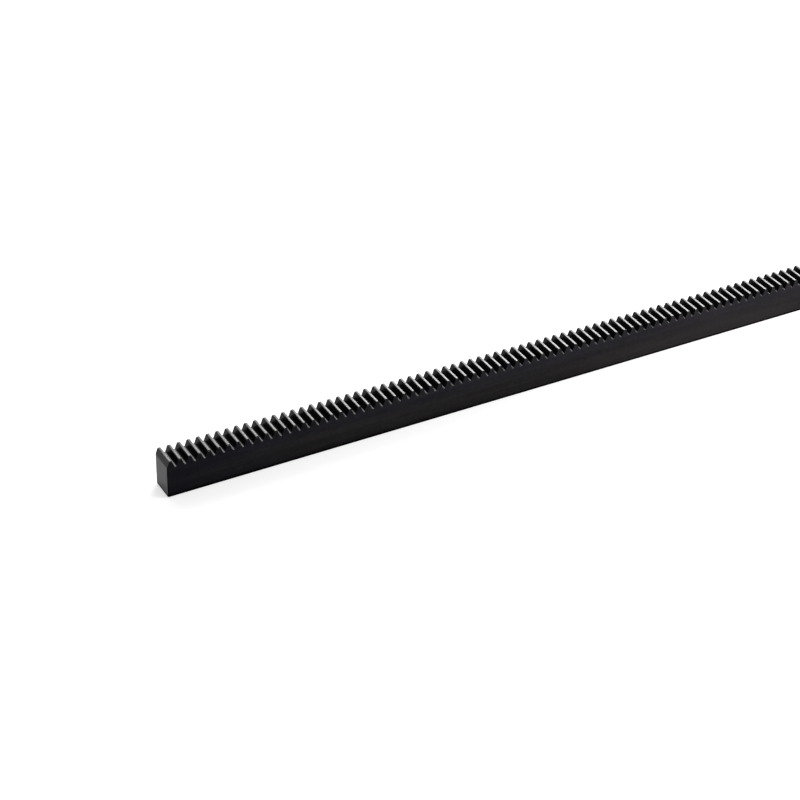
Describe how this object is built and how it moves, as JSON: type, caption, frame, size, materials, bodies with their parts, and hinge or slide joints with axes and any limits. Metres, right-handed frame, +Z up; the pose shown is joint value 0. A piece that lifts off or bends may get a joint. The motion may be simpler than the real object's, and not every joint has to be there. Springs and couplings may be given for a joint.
{
  "type": "gear rack",
  "caption": "Straight spur gear rack: a black oxide steel bar of rectangular section with full-depth teeth cut along its top face.",
  "frame": {"origin": "centre of the flat bottom face, half way along the bar and half way across it", "axes": "+X runs along the bar, away from the end that the picture shows; +Y runs across the face width, from the front face to the back face; +Z points up, out of the teeth"},
  "size_m": [0.5, 0.0126, 0.0191],
  "materials": {
    "black_oxide_steel": "satin"
  },
  "bodies": {
    "root": {"gear_rack": "black_oxide_steel"}
  },
  "joints": []
}
